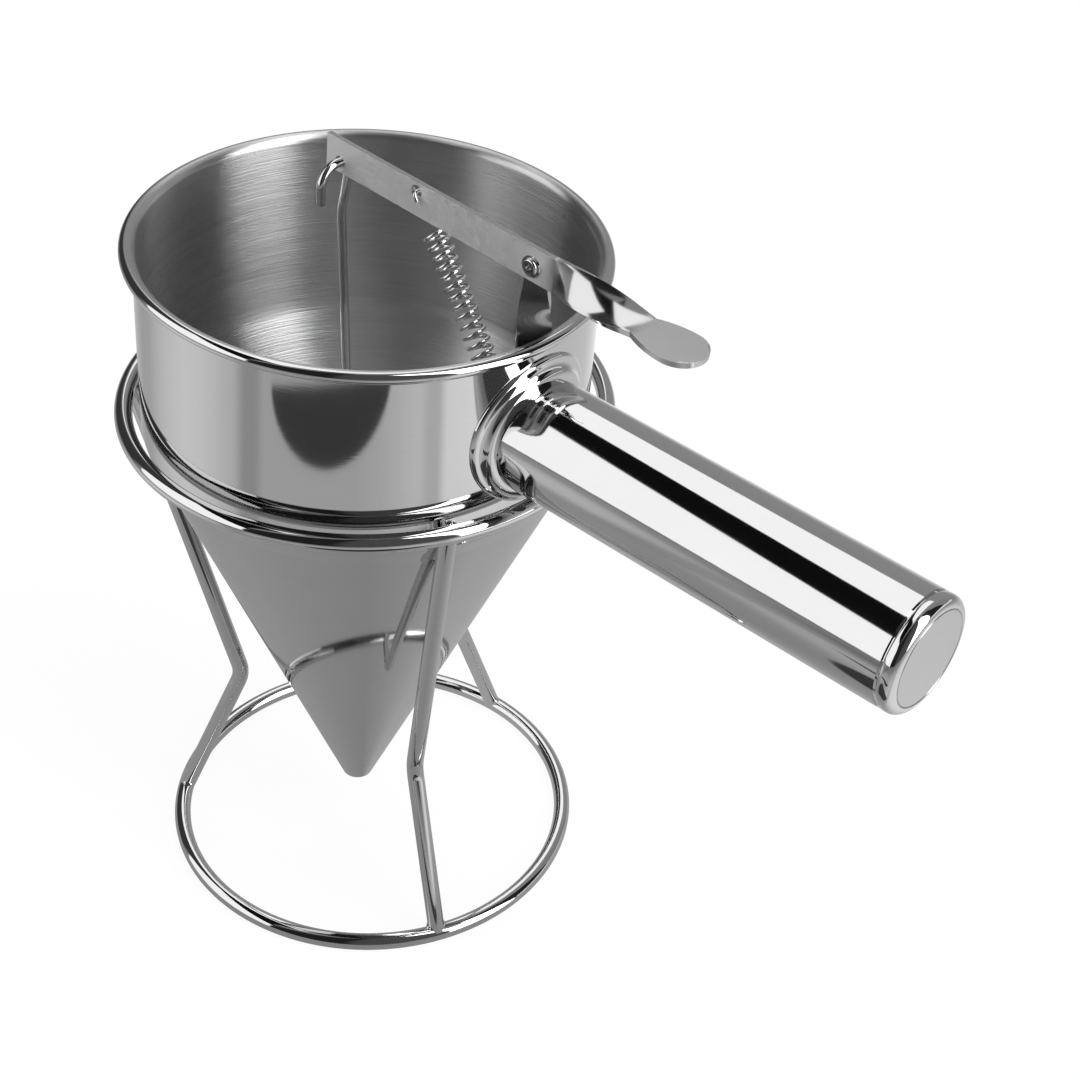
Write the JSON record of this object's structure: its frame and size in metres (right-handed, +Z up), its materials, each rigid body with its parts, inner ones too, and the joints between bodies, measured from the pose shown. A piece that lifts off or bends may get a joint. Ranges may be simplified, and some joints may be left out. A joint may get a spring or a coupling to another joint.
{
  "type": "confectionery funnel",
  "caption": "Hand-held steel dispensing funnel with a tubular handle, a sprung thumb lever that lifts a valve rod off the cone's outlet, and a loose wire stand.",
  "frame": {"origin": "centre of the stand's base hoop, on the surface that it rests on", "axes": "+Z up, +X towards the free end of the handle, +Y to the left of the handle"},
  "size_m": [0.204, 0.1114, 0.1875],
  "materials": {
    "bowl_steel": "polished outside, satin brushed round the bowl inside",
    "polished_steel": "mirror polish",
    "satin_steel": "satin",
    "spring_steel": "drawn wire, bright",
    "wire": "polished drawn wire"
  },
  "bodies": {
    "stand": {"base_ring": "wire", "top_ring": "wire", "leg_front": "wire", "leg_rear": "wire", "leg_left": "wire"},
    "funnel": {"bowl_wall": "bowl_steel", "cone": "bowl_steel", "handle_flange": "polished_steel", "handle_spigot": "polished_steel", "handle_tube": "polished_steel", "handle_cap": "polished_steel", "pivot_bracket": "polished_steel", "pivot_rivet": "polished_steel", "pivot_washer_front": "polished_steel", "pivot_washer_rear": "polished_steel", "spring_anchor": "wire", "return_spring": "spring_steel"},
    "lever": {"lever": "satin_steel"},
    "valve": {"valve_rod": "wire", "valve_plug": "satin_steel"}
  },
  "joints": [
    {"name": "funnel_lift", "type": "slide", "parent": "stand", "child": "funnel", "axis": [0, 0, 1], "range_m": [0, 0.13]},
    {"name": "lever_press", "type": "hinge", "parent": "funnel", "child": "lever", "pos_m": [0.04709, 0.00087, 0.1796], "axis": [-0.0003, 0.9998, -0.0187], "range_deg": [0, 25], "stiffness_Nm_per_rad": 0.3, "springref_deg": -20.05, "deforming": ["return_spring"]},
    {"name": "rod_swing", "type": "hinge", "parent": "lever", "child": "valve", "pos_m": [-0.00737, 0.0009, 0.18211], "axis": [-0.0003, 0.9998, -0.0187], "range_deg": [-24, 0]}
  ],
  "couplings": [
    {"joint": "rod_swing", "follows": "lever_press", "ratio": -0.9238}
  ]
}
